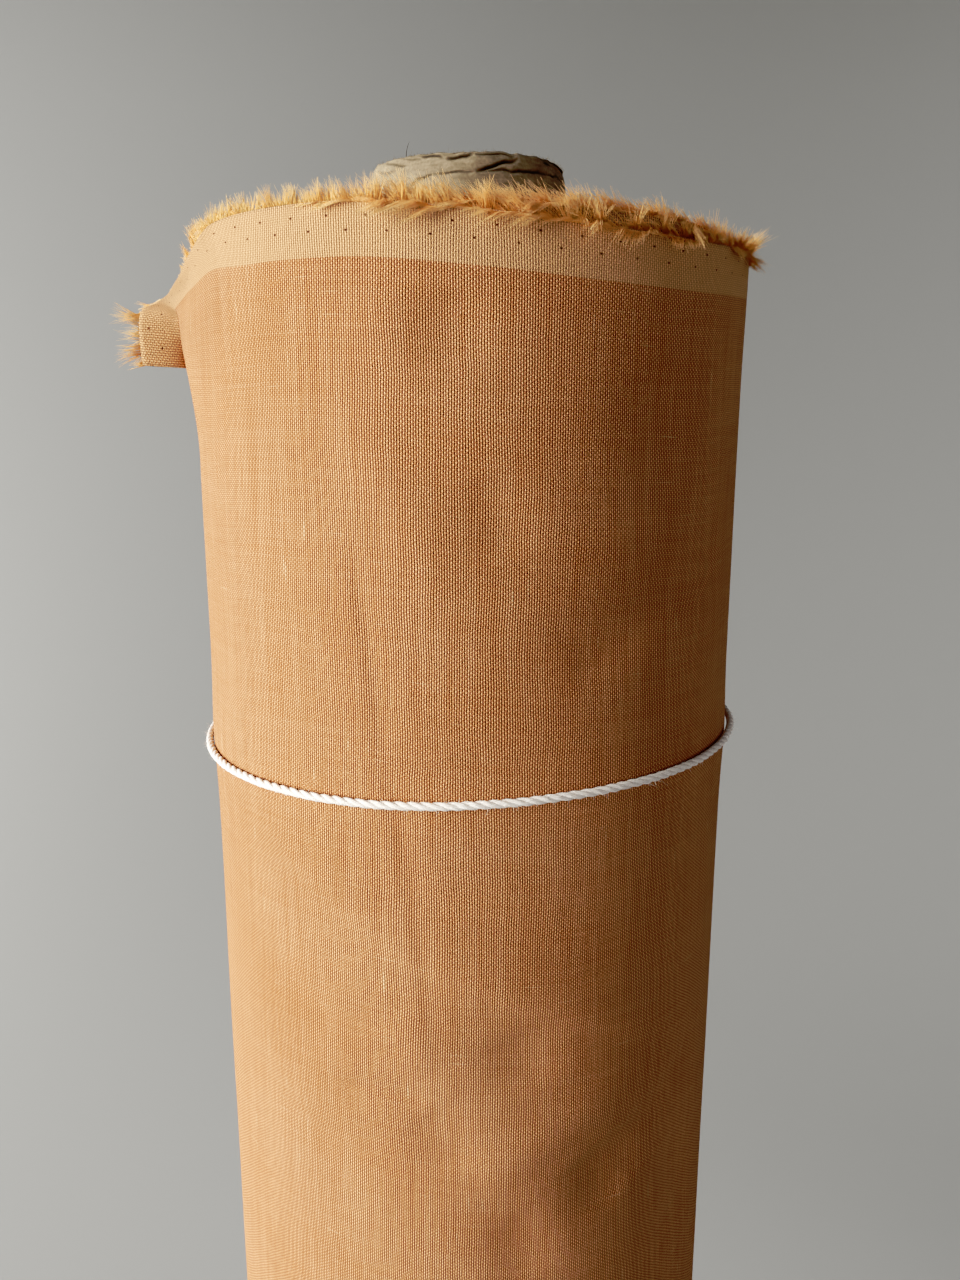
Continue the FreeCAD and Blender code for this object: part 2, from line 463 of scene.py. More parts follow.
def cottonMaterial():
    # Twisted cotton string, undyed and bleached: soft, matt, fine fibres along each strand, drawn
    # about 0.2 mm wide so that they show; real ones are a tenth of that
    material, tree, shader = newMaterial("cottonTwistedString")
    add = partial(addNode, tree)
    uv = add("UVMap", uv_map="cloth")
    place = add("VectorMath", (uv, (1600, 5200, 0)), operation="MULTIPLY")
    fibre = add("TexNoise", {"Vector": place, "Scale": 1.0, "Detail": 3.0}, noise_dimensions="2D")
    share = add("MapRange", (fibre, 0.3, 0.7))
    colour = add("Mix", {"Factor": share, 6: linearColour("#D9CBB6"), 7: linearColour("#FFFAF0")},
                 out=2, data_type="RGBA")
    tree.links.new(colour, shader.inputs["Base Color"])
    bump = add("Bump", {"Height": fibre, "Strength": 0.5, "Distance": 0.00015})
    tree.links.new(bump, shader.inputs["Normal"])
    shader.inputs["Roughness"].default_value = 0.8
    shader.inputs["Sheen Weight"].default_value = 0.25
    return material


def fuzzMaterial():
    # Loose cotton fibres on the string: soft and pale, too thin to show any pattern
    material, tree, shader = newMaterial("cottonFuzz")
    shader.inputs["Base Color"].default_value = linearColour("#F4EADB")
    shader.inputs["Roughness"].default_value = 0.7
    return material


linenCloth = linenMaterial()
linenFringe = fringeMaterial()
linenEnds = layerEndMaterial()
kraftCover = kraftMaterial("kraftCoverPaper", "#6B5E4A", "#8F8068", lined=True)
kraftBoard = kraftMaterial("greyBoardPlies", "#685B48", "#86785F")
kraftLiner = kraftMaterial("kraftLinerPaper", "#69583F", "#8A785A")
cotton = cottonMaterial()
cottonFuzz = fuzzMaterial()
print("materials made")


turnLow, turnHigh = nodeBox("last_turn")
boardRadius = nodeBox("core_board")[1][0]
eyeLevel = turnHigh[2] - 45.0   # most levels below are measured from here
cloth = {
    "radius": (turnHigh[0] - turnLow[0]) / 2,   # outside of the last turn
    "width": linen["clothWidth"],
    "thickness": 0.45,
    "freeEnd": -101.0,       # angle of the cut end
    "edgeAngles": (-101, -55, -44, -30, -20, 0, 22, 40, 75, 150, 259),
    "edgeLevels": (46.0, 46.2, 46.9, 47.1, 46.9, 44.6, 41.9, 41.1, 42.6, 45.5, 44.0),
    "secondAngles": (-180, -60, 0, 30, 48, 62, 80, 110, 180),
    "secondLevels": (46.0, 46.5, 46.3, 45.6, 44.0, 41.8, 41.5, 44.0, 46.0),
}
turnLength = 2 * math.pi * cloth["radius"]


def edgeLevel(angle):
    # upper edge of the last turn: it slips down towards the right
    return eyeLevel + softCurve(cloth["edgeAngles"], cloth["edgeLevels"], angle)


def secondLevel(angle):
    # upper edge of the turn below it
    wrapped = (np.asarray(angle) + 180) % 360 - 180
    return eyeLevel + softCurve(cloth["secondAngles"], cloth["secondLevels"], wrapped)


# soft folds of the last turn: route (mm round from the front, level from eye), half widths on its
# left and right as it is followed, height (a groove where negative)
folds = (
    (((-31, -36), (-26, -64), (-23, -90)), (4.2, 1.8), -0.50),
    (((-23, -90), (-19, -108), (-15, -134)), (4.2, 2.0), -0.36),
    (((-15, -134), (-12, -155), (-9, -180)), (3.4, 1.8), -0.28),
    (((-20, 28), (-22, 18), (-22, 8)), (9.0, 9.0), 0.7),
    (((-4, 28), (-3, 19), (-2, 10)), (9.0, 9.0), -0.9),
    (((-30, 2), (-17, -24), (-8, -50)), (9.0, 9.0), 0.85),
    (((4, -16), (7, -26), (10, -36)), (8.0, 8.0), -0.9),
    (((48, 10), (54, -10), (56, -28)), (13.0, 15.0), -0.8),
    (((86, -38), (52, -52), (26, -68)), (7.0, 14.0), -1.2),
    (((-66, -114), (-14, -145), (84, -188)), (14.0, 4.0), 0.95),
    (((-22, -164), (-16, -172), (-13, -180)), (9.0, 8.0), 0.85),
    (((12, -168), (15, -177), (17, -186)), (10.0, 12.0), -1.4),
    (((-40, -188), (-24, -187), (-12, -189)), (2.6, 5.0), -0.8),
    (((-14, -194), (-8, -201), (-5, -212)), (10.0, 9.0), -1.1),
    (((2, -216), (20, -205), (46, -196)), (8.0, 8.0), 1.0),
    (((36, -211), (41, -221), (45, -232)), (12.0, 12.0), -2.1),
    (((82, -195), (64, -206), (44, -217)), (20.0, 5.5), -1.3),
    (((68, -198), (64, -212), (62, -226)), (9.0, 9.0), 0.4),
    (((72, -222), (78, -240), (80, -262)), (10.0, 13.0), -1.7),
    (((10, -228), (15, -238), (17, -250)), (9.0, 9.0), -1.3),
    (((-24, -92), (0, -91), (28, -91)), (1.6, 2.2), -0.4),
    (((-80, -150), (-60, -158), (-36, -170)), (4.0, 6.0), -0.6),
    (((-84, -190), (-58, -206), (-30, -214)), (6.0, 6.0), -0.7),
    (((-20, -262), (10, -282), (50, -312)), (12.0, 9.0), 0.8),
    (((40, -300), (60, -360), (66, -430)), (12.0, 12.0), -1.3),
)


def foldHeight(angle, level):
    # sum of height x bell across the route of each fold, and of slow waves that are stronger at the
    # back and low down; then lowered by the slack, and never above the roll's radius
    across = np.radians(angle) * cloth["radius"]
    up = level - eyeLevel
    total = 0.07 * waveNoise(across, level * 0.6, 5, 75)
    back = smoothStep(78, 110, np.abs((angle + 180) % 360 - 180))
    low = smoothStep(-290, -380, up)
    total += 0.34 * np.maximum(back, low) * waveNoise(across, level * 0.45, 6, 48)
    for route, widths, height in folds:
        total += height * routeBell(across, up, route, widths)
    # close under the string and at the edge, slack elsewhere
    slack = (1 - np.exp(-((up + 99.5) / 15) ** 2)) * (1 - 0.6 * smoothStep(5, 40, up))
    return np.clip(total - 0.5 - 0.6 * slack, -3.6, -0.03)


# places that the loose corner passes through: mm from the cut end, mm from the edge, then x, y and
# level from eye
cornerPlaces = (
    (0, 0, -100.9, -6.5, 12.3), (5, 0, -101.4, -6.3, 17.8), (10.3, 0, -101.5, -6.0, 23.4),
    (15.2, 0, -100.5, -5.6, 28.2), (17.9, 0, -98.1, -7.0, 29.7), (23.2, 0, -94.2, -11.0, 30.5),
    (29.9, 0, -89.3, -16.0, 32.0), (36.7, 0, -85.8, -22.0, 34.0), (45.6, 0, -81.3, -30.0, 36.4),
    (53, 0, -77.7, -36.5, 39.2), (59.6, 0, -74.2, -42.0, 41.7), (65, 0, -71.3, -46.6, 43.6),
    (69, 0, -68.8, -49.0, 45.4),
    (0, 12.4, -89.0, -4.4, 11.6), (7.5, 12.4, -89.2, -5.2, 19.5), (15.2, 12.4, -88.6, -9.0, 26.8),
    (25, 12.4, -86.0, -20.0, 27.9), (33.3, 12.4, -82.6, -26.0, 29.2),
    (42, 12.4, -78.9, -32.2, 31.0),
    (52, 12.4, -75.2, -39.4, 31.9), (60.4, 12.4, -71.4, -45.2, 33.5),
    (66.2, 12.4, -68.6, -49.0, 34.5), (72, 12.4, -65.4, -52.8, 34.9),
    (0, 20, -85.6, 1.5, 10.4), (7.5, 20, -86.2, -3.0, 18.0), (15.2, 20, -85.9, -11.4, 24.2),
    (25, 20, -85.0, -20.4, 24.0), (34, 20, -82.8, -26.8, 23.2), (43, 20, -79.4, -33.4, 23.8),
    (53, 20, -75.2, -40.4, 24.8), (62, 20, -70.8, -46.6, 26.0),
    (0, 30, -85.4, 6.0, 5.0), (14, 30, -86.6, -3.6, 12.4), (28, 30, -85.8, -15.2, 15.4),
    (40, 30, -82.2, -26.8, 15.8), (54, 30, -75.4, -39.0, 16.0),
    (0, 42, -83.6, 14.6, 2.6), (15, 42, -85.3, 2.2, 3.9), (30, 42, -84.7, -12.6, 4.1),
    (45, 42, -80.4, -27.6, 4.1),
)
# places where it lies on the roll again, mm from the cut end and from the edge
cornerRests = (
    (77, 0), (84, 0), (92, 0), (84, 12.4), (95, 12.4), (75, 22), (88, 22), (68, 32), (82, 32),
    (60, 42), (74, 42), (88, 42), (58, 54), (72, 56), (0, 62), (15, 60), (30, 58), (45, 56),
    (0, 74), (20, 74), (40, 74), (60, 74), (80, 74), (95, 56),
)


def splineShift(known, shift, at):
    # thin-plate spline: the smoothest surface of shifts through the known places, a plane plus
    # d^2 log d from each place, weighted so that it fits them all
    def pull(first, second):
        square = ((first[:, None] - second[None]) ** 2).sum(-1)
        return 0.5 * square * np.log(square + 1e-9)

    count = len(known)
    flat = np.concatenate([np.ones((count, 1)), known], 1)
    system = np.zeros((count + 3, count + 3))
    system[:count, :count] = pull(known, known)
    system[:count, count:] = flat
    system[count:, :count] = flat.T
    weights = np.linalg.solve(system, np.concatenate([shift, np.zeros((3, shift.shape[1]))]))
    grid = at.reshape(-1, 2)
    shifted = pull(grid, known) @ weights[:count]
    shifted += np.concatenate([np.ones((len(grid), 1)), grid], 1) @ weights[count:]
    return shifted.reshape(*at.shape[:-1], -1)


def cornerShift(fromEnd, fromEdge):
    # how far the loose corner stands away from where it would lie on the roll: the spline through
    # its places, faded out where it rests
    places = np.array(cornerPlaces)
    rests = np.array(cornerRests, float)

    def onTurn(flat):
        angle = cloth["freeEnd"] + np.degrees(flat[:, 0] / cloth["radius"])
        return onRoll(angle, cloth["radius"], edgeLevel(angle) - flat[:, 1])

    target = places[:, 2:] + np.array([0, 0, eyeLevel])
    shift = np.concatenate([target - onTurn(places), np.zeros((len(rests), 3))])
    known = np.concatenate([places[:, :2], rests])
    u, w = np.meshgrid(fromEnd, fromEdge, indexing="ij")
    moved = splineShift(known, shift, np.stack([u, w], -1))
    share = (1 - smoothStep(78, 100, u)) * (1 - smoothStep(56, 69, w))
    return moved * share[..., None]


def lastTurn():
    # the last turn: x = r sin a, y = -r cos a and z = edge - w, with r the radius plus the folds,
    # for angles a from the free end round to where it starts and w mm down from its edge; then
    # the loose corner's shift is added
    fromEdge = np.concatenate([np.arange(0, 84, 1.5), np.arange(84, 272, 2.2),
                               np.arange(272, 350, 4.0), np.linspace(352, cloth["width"], 24)])
    fromEnd = np.concatenate([np.arange(0, 240, 1.4), np.linspace(241.4, turnLength, 72)])
    angle = cloth["freeEnd"] + np.degrees(fromEnd / cloth["radius"])
    angleGrid, edgeGrid = np.meshgrid(angle, fromEdge, indexing="ij")
    level = edgeLevel(angleGrid) - edgeGrid
    under = smoothStep(turnLength - 45, turnLength, fromEnd)[:, None]   # goes under the free end
    radius = cloth["radius"] + foldHeight(angleGrid, level) * (1 - under) - 0.9 * under
    points = onRoll(angleGrid, radius, level)
    points += cornerShift(fromEnd, fromEdge)
    uv = np.stack([np.broadcast_to(fromEnd[:, None], edgeGrid.shape),
                   cloth["width"] - edgeGrid], -1)
    piece = makePiece("lastTurnCloth", points, gridFaces(*edgeGrid.shape, flip=True),
                      [linenCloth], uv=uv)
    solid = piece.modifiers.new("clothThickness", "SOLIDIFY")
    solid.thickness = cloth["thickness"] * mm
    solid.offset = -1
    return piece, points, fromEnd


lastTurnPiece, turnPoints, turnFromEnd = lastTurn()
finishPiece(lastTurnPiece, "roll", ("last_turn", "loose_corner"))
print("last turn made")


wound = {
    "inset": 1.3,            # its outside is this far under that of the last turn
    "coreGap": 0.45,
    "endLevel": 46.0,        # mean level of the upper end, from eye
    "rounding": 12.0,        # from this far inside the rim, the ends are level
    "ridges": 109,           # low ridges on each end, one for each few layers
    "ridgeHeight": 0.9,
    "columns": 241,
}
woundOuter = cloth["radius"] - wound["inset"]


def woundCloth():
    # a closed ring: outer wall with the folds above it, upper end, bore, lower end. Ends are at
    # level = rim level, easing to a mean level inwards, less a ridge on every second row
    inner = boardRadius + wound["coreGap"]
    angle = np.linspace(-180, 180, wound["columns"])
    arc = np.radians(angle + 180) * woundOuter
    top = secondLevel(angle)
    bottom = top - cloth["width"]
    rows, flats = [], []
    for share in np.concatenate([np.linspace(0, 0.66, 50), np.linspace(0.66, 1, 125)[1:]]):
        level = bottom + (top - bottom) * share
        dip = foldHeight(angle, level) + 0.25
        nearEnd = smoothStep(0, 30, np.minimum(level - bottom, top - level))
        rows.append(onRoll(angle, woundOuter + np.minimum(dip, 0) * nearEnd, level))
        flats.append(np.stack([arc, cloth["width"] * share + 0 * arc], -1))
    wallRows = len(rows)
    meanTop = eyeLevel + wound["endLevel"]
    meanBottom = meanTop - cloth["width"]
    ridges = np.linspace(woundOuter, inner, wound["ridges"] + 1)[1:]
    for i, radius in enumerate(ridges):
        inside = smoothStep(woundOuter, woundOuter - wound["rounding"], radius)
        ridge = 0.5 * waveNoise(np.radians(angle) * 40, radius, 11, 30)
        ridge += wound["ridgeHeight"] * (i % 2)
        rows.append(onRoll(angle, radius, top * (1 - inside) + meanTop * inside - ridge))
        flats.append(np.stack([arc, 0 * arc + radius], -1))
    for i, radius in enumerate(ridges[::-1]):
        inside = smoothStep(woundOuter, woundOuter - wound["rounding"], radius)
        level = bottom * (1 - inside) + meanBottom * inside + wound["ridgeHeight"] * (i % 2)
        rows.append(onRoll(angle, radius, level))
        flats.append(np.stack([arc, 0 * arc + radius], -1))
    rows.append(rows[0])
    flats.append(flats[0])
    faces = gridFaces(len(rows), len(angle))
    isEnd = (np.arange(len(faces)) // (len(angle) - 1)) >= wallRows - 1
    return makePiece("woundCloth", np.array(rows), faces, [linenCloth, linenEnds],
                     uv=np.array(flats), faceMaterial=isEnd.astype(np.int32), merge=True)


finishPiece(woundCloth(), "roll", ("wound_cloth",))
print("wound cloth made")


fringe = {
    "yarnPitch": 0.62,
    "fibres": 9,              # strands drawn for each yarn end; real yarns have about 40 fibres
    "length": 5.4,
    "fibreRadius": 0.085,
    "combAngles": (-101, -70, -35, 0, 30, 60, 100, 160, 259),
    "comb": (0.1, 0.0, 0.1, 0.6, 0.9, 1.1, 0.7, 0.3, 0.1),
    "standAngles": (-101, -60, -20, 5, 70, 110, 259),
    "stand": (0.30, 0.30, 0.40, 0.75, 0.75, 0.5, 0.35),
    "hangFrom": -28,          # between these angles locks also hang over the edge
    "hangTo": 46,
    "hanging": 3200,
    "shortFrom": 18,          # the edge between here and there is folded back: short fibres only
    "shortTo": 50,
    "secondFrom": -6,         # locks of the turn below show between these angles
    "secondTo": 84,
    "secondHanging": 4200,
}
# fringes on the ends of the wound turns: name, seed, upper end or not, strands, from and to radius,
# length, fibre radius
layerFringes = (
    ("rimUpperFringe", 41, True, 10500, 78.5, 82.3, 6.2, 0.09),
    ("innerUpperFringe", 43, True, 7500, 30.4, 79.0, 5.0, 0.16),
    ("rimLowerFringe", 51, False, 4500, 78.5, 82.3, 4.2, 0.10),
    ("innerLowerFringe", 53, False, 6500, 30.4, 79.0, 4.2, 0.17),
)


def fleece(name, seed, root, up, off, arc, layer, comb, stand, length, radius, sagging=0.0,
           ragged=0.0):
    # cut yarn ends: root points, the way they leave the cloth (up), the way off its face (off).
    # Each heads for up + along x sideways + off x outwards; neighbouring strands lean alike,
    # because the same slow waves of their place steer them
    random = np.random.default_rng(seed)
    count = len(root)
    along = unit(np.cross(up, off))
    tuft = waveNoise(arc, layer, seed + 1, 9)
    lock = waveNoise(arc, layer, seed + 2, 3.2)
    curl = waveNoise(arc, layer, seed + 3, 6)
    rise = waveNoise(arc, layer, seed + 4, 14)
    single = random.normal(size=(count, 4))
    sideways = comb + 0.36 * tuft + 0.34 * lock + 0.2 * single[:, 0]
    outwards = stand * (0.35 + 0.45 * curl + 0.25 * lock + 0.22 * single[:, 1])
    heading = unit(up + along * sideways[:, None] + off * outwards[:, None])
    sag = sagging + stand * np.clip(0.2 + 0.45 * rise + 0.3 * single[:, 2], 0, 1.2)
    bend = (along * (0.35 * comb + 0.25 * curl + 0.15 * single[:, 3])[:, None]
            + off * (0.35 * sag)[:, None] - up * (0.55 * sag)[:, None])
    uneven = 0.16 * rise + (0.16 + ragged) * lock + 0.24 * single[:, 2]
    reach = length * (0.9 + uneven).clip(0.3, 1.6)
    thick = radius * random.uniform(0.6, 1.3, count)
    tone = np.clip(0.5 + ragged + 0.22 * tuft + 0.18 * rise + 0.14 * single[:, 1], 0, 1)
    return strandPiece(name, linenFringe, root, heading, bend * 0.7, reach, thick, tone, rings=3)


def edgeFringe(name, seed, edge, outward, normal, position, comb, stand, reach, fibres):
    # strands rooted along an edge line given by points; position is the distance along it
    random = np.random.default_rng(seed)
    yarns = np.repeat(np.arange(position[0], position[-1], fringe["yarnPitch"]), fibres)
    yarns = np.clip(yarns + random.normal(0, 0.2, len(yarns)), position[0], position[-1])

    def at(values):
        return np.stack([np.interp(yarns, position, values[:, k]) for k in range(3)], -1)

    root, up, off = at(edge), unit(at(outward)), unit(at(normal))
    root = root - up * 0.5 - off * random.uniform(0.02, 0.42, (len(yarns), 1))
    return fleece(name, seed, root, up, off, yarns, 0 * yarns, np.interp(yarns, position, comb),
                  np.interp(yarns, position, stand),
                  fringe["length"] * np.interp(yarns, position, reach), fringe["fibreRadius"],
                  ragged=np.interp(yarns, (0, 110, 160), (0.32, 0.32, 0.0)))


def hangingLocks(name, seed, start, stop, count, radius, levelAt):
    # locks of fibres that lie over an edge and hang down the face below it
    random = np.random.default_rng(seed)
    at = random.uniform(start, stop, count)
    scallop = waveNoise(at * 1.5, 0 * at, seed + 1, 14)
    root = onRoll(at, radius - random.uniform(0.3, 0.7, count), levelAt(at) - 0.4)
    ease = smoothStep(0, 14, np.minimum(at - start, stop - at))
    return fleece(name, seed + 2, root, 0 * root + np.array([0, 0, 1.0]), onRoll(at, 1.0, 0.0),
                  np.radians(at) * cloth["radius"], 0 * at, -1.4 - 0.4 * scallop, 0.7 + 0 * at,
                  (4.6 + 1.9 * scallop).clip(1.2, 8) * (0.35 + 0.65 * ease), 0.085,
                  sagging=2.0 + 0.8 * scallop)


def lastTurnFringes():
    # both cut edges of the last turn, and locks that hang over its upper edge and the next one's
    angle = cloth["freeEnd"] + np.degrees(turnFromEnd / cloth["radius"])
    comb = softCurve(fringe["combAngles"], fringe["comb"], angle)
    stand = softCurve(fringe["standAngles"], fringe["stand"], angle)
    upwards = turnPoints[:, 0] - turnPoints[:, 1]
    faceOut = np.cross(np.gradient(turnPoints[:, 0], axis=0), upwards)
    # short where the edge is folded back, longer at the right and at the loose tip
    foldedBack = (smoothStep(fringe["shortFrom"] - 4, fringe["shortFrom"] + 4, turnFromEnd)
                  * (1 - smoothStep(fringe["shortTo"] - 8, fringe["shortTo"] + 8, turnFromEnd)))
    right = smoothStep(-10, 10, angle) * (1 - smoothStep(66, 90, angle))
    left = (turnFromEnd > 44) * (angle < -10) * smoothStep(-10, -30, angle)
    tip = turnFromEnd < 17
    reach = (1 - 0.9 * foldedBack) * (1 + 0.3 * right) * (1 + 0.3 * tip - 0.28 * left)
    top = edgeFringe("lastTurnUpperFringe", 21, turnPoints[:, 0], upwards, faceOut, turnFromEnd,
                     -comb, stand, reach, fringe["fibres"])
    hang = hangingLocks("hangingFringe", 61, fringe["hangFrom"], fringe["hangTo"],
                        fringe["hanging"], cloth["radius"], edgeLevel)
    second = hangingLocks("secondLayerFringe", 65, fringe["secondFrom"], fringe["secondTo"],
                          fringe["secondHanging"], cloth["radius"] - 1.0, secondLevel)
    bottomOut = turnPoints[:, -1] - turnPoints[:, -2]
    bottom = edgeFringe("lastTurnLowerFringe", 31, turnPoints[:, -1], bottomOut,
                        onRoll(angle, 1.0, 0.0), turnFromEnd, 0 * comb + 0.3, 0 * stand + 0.3,
                        0 * comb + 1, 6)
    return top, hang, second, bottom


for piece in lastTurnFringes():
    finishPiece(piece, "roll")


def layerFringe(name, seed, upward, count, innerR, outerR, length, radius):
    # strands over the ends of the turns between two radii
    random = np.random.default_rng(seed)
    distance = np.sqrt(random.uniform(innerR ** 2, outerR ** 2, count))
    angle = random.uniform(-180, 180, count)
    inside = smoothStep(woundOuter, woundOuter - wound["rounding"], distance)
    meanTop = eyeLevel + wound["endLevel"]
    top = secondLevel(angle) * (1 - inside) + meanTop * inside - wound["ridgeHeight"]
    root = onRoll(angle, distance, top if upward else top - cloth["width"] + 1.8)
    up = np.array([0, 0, 1.0 if upward else -1.0]) + 0 * root
    off = unit(onRoll(angle, 1.0, 0.0))
    wrapped = (angle + 101) % 360 - 101
    comb = softCurve(fringe["combAngles"], fringe["comb"], wrapped)
    stand = softCurve(fringe["standAngles"], fringe["stand"], wrapped)
    shorter = 1 - 0.35 * smoothStep(-10, -34, wrapped)
    return fleece(name, seed, root, up, off, np.radians(angle) * distance, distance * 1.3,
                  -comb - 0.2, 0.6 * stand + 0.15, length * shorter, radius)


for settings in layerFringes:
    finishPiece(layerFringe(*settings), "roll")
print("fringes made")


boreMount = next(m for m in frame["record"]["mounts"] if m["name"] == "core_bore")
linerSize, coverSize = nodeBox("core_liner_ply")[1], nodeBox("core_cover_ply")[1]
core = {
    "bore": boreMount["dims"]["r_mm"],
    "liner": linerSize[0],           # outer radius of each ply
    "board": boardRadius - 0.1,
    "cover": coverSize[0],
    "length": coverSize[2] + 1.2,    # the battered rim stands a little proud
    "fineDepth": 13.0,               # length at each end that has close rows
    "corner": 1.3,                   # rounding of the outer rim
    "napFibres": 900,                # short pale fibres torn out of the rim
}
# seams, wrinkles and gaps between plies at the upper end: route (angle, mm below the rim), half
# width in mm, depth in mm, and the strength of the painted shade in the groove
coreLines = (
    (((-36, 9.0), (-29, 6.8), (-20, 5.8)), 0.34, 0.45, 0.75),
    (((-20, 5.8), (-8, 5.2), (4, 5.5)), 0.30, 0.40, 0.65),
    (((4, 5.5), (14, 4.1), (28, 1.9)), 0.52, 0.75, 1.0),
    (((6, 5.4), (30, 4.9), (52, 4.3)), 0.42, 0.45, 0.85),
    (((50, 4.5), (62, 3.6), (78, 3.4)), 0.30, 0.40, 0.7),
    (((-28, 0.5), (-20, 0.8), (-14, 1.4)), 0.36, 0.60, 1.0),
    (((-12, 1.6), (-5, 1.5), (3, 0.8)), 0.46, 0.80, 1.0),
    (((2, 0.8), (12, 1.0), (26, 1.0)), 0.28, 0.45, 0.8),
    (((-57, 0.8), (-47, 2.0), (-36, 2.9)), 0.30, 0.35, 0.7),
    (((-66, 2.4), (-58, 3.4), (-46, 4.0)), 0.30, 0.30, 0.5),
    (((-40, 0.7), (-34, 1.3), (-27, 1.5)), 0.24, 0.30, 0.6),
    (((48, 1.2), (60, 1.6), (74, 3.0)), 0.40, 0.50, 0.9),
    (((110, 6.0), (150, 3.2), (178, 1.2)), 0.34, 0.45, 0.8),
    (((-178, 1.4), (-140, 5.0), (-104, 8.4)), 0.34, 0.45, 0.8),
)


def coreCarving(angle, depth):
    # how deep the lines cut into the cover ply, and how much shade is painted in them: the largest
    # depth x bell and painted shade x bell of all the lines, each a little wavy
    across = np.radians(angle) * core["cover"]
    cut, dark = np.zeros(across.shape), np.zeros(across.shape)
    for route, width, deep, grooveShade in coreLines:
        flat = [(math.radians(a) * core["cover"], d) for a, d in route]
        waver = 0.16 * waveNoise(across, depth * 0.3, 67, 8)
        cut = np.maximum(cut, deep * routeBell(across, depth + waver, flat, (width, width)))
        dark = np.maximum(dark, grooveShade * routeBell(across, depth + waver, flat,
                                                     (width * 0.8, width * 1.3)))
    return cut, dark


def tubeEnds(angle, depth, innerR, outerR, rimDrop, corner):
    # wall section from the outside over the upper rim, down the bore and round the lower rim: each
    # row is a circle, drawn in near a rim by a quarter circle; rows also hold their distance below
    # the rim if they are outside, or -1
    top, low = core["length"] - rimDrop(angle, 1), rimDrop(angle, -1)
    rows, marks = [], []

    def eased(d):
        return corner * (1 - math.sqrt(max(0, 1 - (1 - min(d / corner, 1)) ** 2)))

    for d in depth[::-1]:
        rows.append(onRoll(angle, outerR - eased(d), top - d))
        marks.append(d)
    for t in (0.25, 0.5, 0.75):
        width = outerR - innerR - corner * 1.4
        rows.append(onRoll(angle, outerR - corner - width * t, top - 0.3 * math.sin(math.pi * t)))
        marks.append(-1)
    for d in depth[::5]:
        rows.append(onRoll(angle, innerR + 0.4 * eased(d), top - d))
        marks.append(-1)
    for d in (60, 26, 8, 2, 0):
        rows.append(onRoll(angle, innerR, low + d))
        marks.append(-1)
    for d in (0, 0.5, 2, 8, 26, 60):
        rows.append(onRoll(angle, outerR - 0.4 * eased(d), low + d))
        marks.append(-1)
    return np.array(rows), np.array(marks)


def tubeShell(name, material, innerR, outerR, rimDrop, columns, carved=False):
    # one closed ply of the tube. Carved: radius = wall - lines - lean - dent + wrinkles
    angle = np.linspace(-180, 180, columns)
    depth = np.concatenate([np.linspace(0, core["fineDepth"], 100 if carved else 22), [26, 60]])
    corner = min(core["corner"], (outerR - innerR) * 0.9) if not carved else 0.42
    points, marks = tubeEnds(angle, depth, innerR, outerR, rimDrop, corner)
    tone = np.zeros(points.shape)
    if carved:
        # the whole ply leans in towards the rim, and is pushed in where it was knocked
        face = marks >= 0
        below = np.repeat(marks[face][:, None], columns, 1)
        around = np.broadcast_to(angle, below.shape)
        cut, dark = coreCarving(around, below)
        lean = 0.9 * np.exp(-below / 1.1) + 0.25 * np.exp(-below / 5)
        wrinkle = 0.09 * waveNoise(around * 0.5, below, 64, 7)
        wrinkle += 0.05 * waveNoise(around * 0.5, below, 66, 3)
        dent = 1.1 * np.exp(-((around - 66) / 20) ** 2 - (below / 6) ** 2)
        inwards = cut + lean + dent - wrinkle * np.exp(-below / 8) + 0.1
        radius = np.linalg.norm(points[face][..., :2], axis=-1)
        points[face, :, :2] *= ((radius - inwards) / radius)[..., None]
        bore = np.linalg.norm(points[~face][..., :2], axis=-1)
        rise = np.exp(-np.clip(core["length"] - points[~face][..., 2], 0, 99) / 1.2)
        points[~face, :, :2] *= ((bore - 0.9 * rise) / bore)[..., None]
        # the painted shade of the grooves goes into the tone attribute
        tone[face, :, 0] = dark
    points[:, -1] = points[:, 0]
    points = np.concatenate([points, points[:1]])
    tone = np.concatenate([tone, tone[:1]])
    return makePiece(name, points, gridFaces(*points.shape[:2]), [material], tone=tone, merge=True)


def boardRim(angle, end):
    # how far the plies are worn down at an angle: a level, a slow wave and a quick one
    at = 0 * angle + end
    return 0.5 + 0.22 * waveNoise(angle, at, 61, 70) + 0.12 * waveNoise(angle, at, 62, 18)


def coverRim(angle, end):
    # the same for the cover ply, which is frayed more finely
    at = 0 * angle + end
    return 0.3 + 0.22 * waveNoise(angle, at, 63, 40) + 0.12 * waveNoise(angle, at, 68, 9)


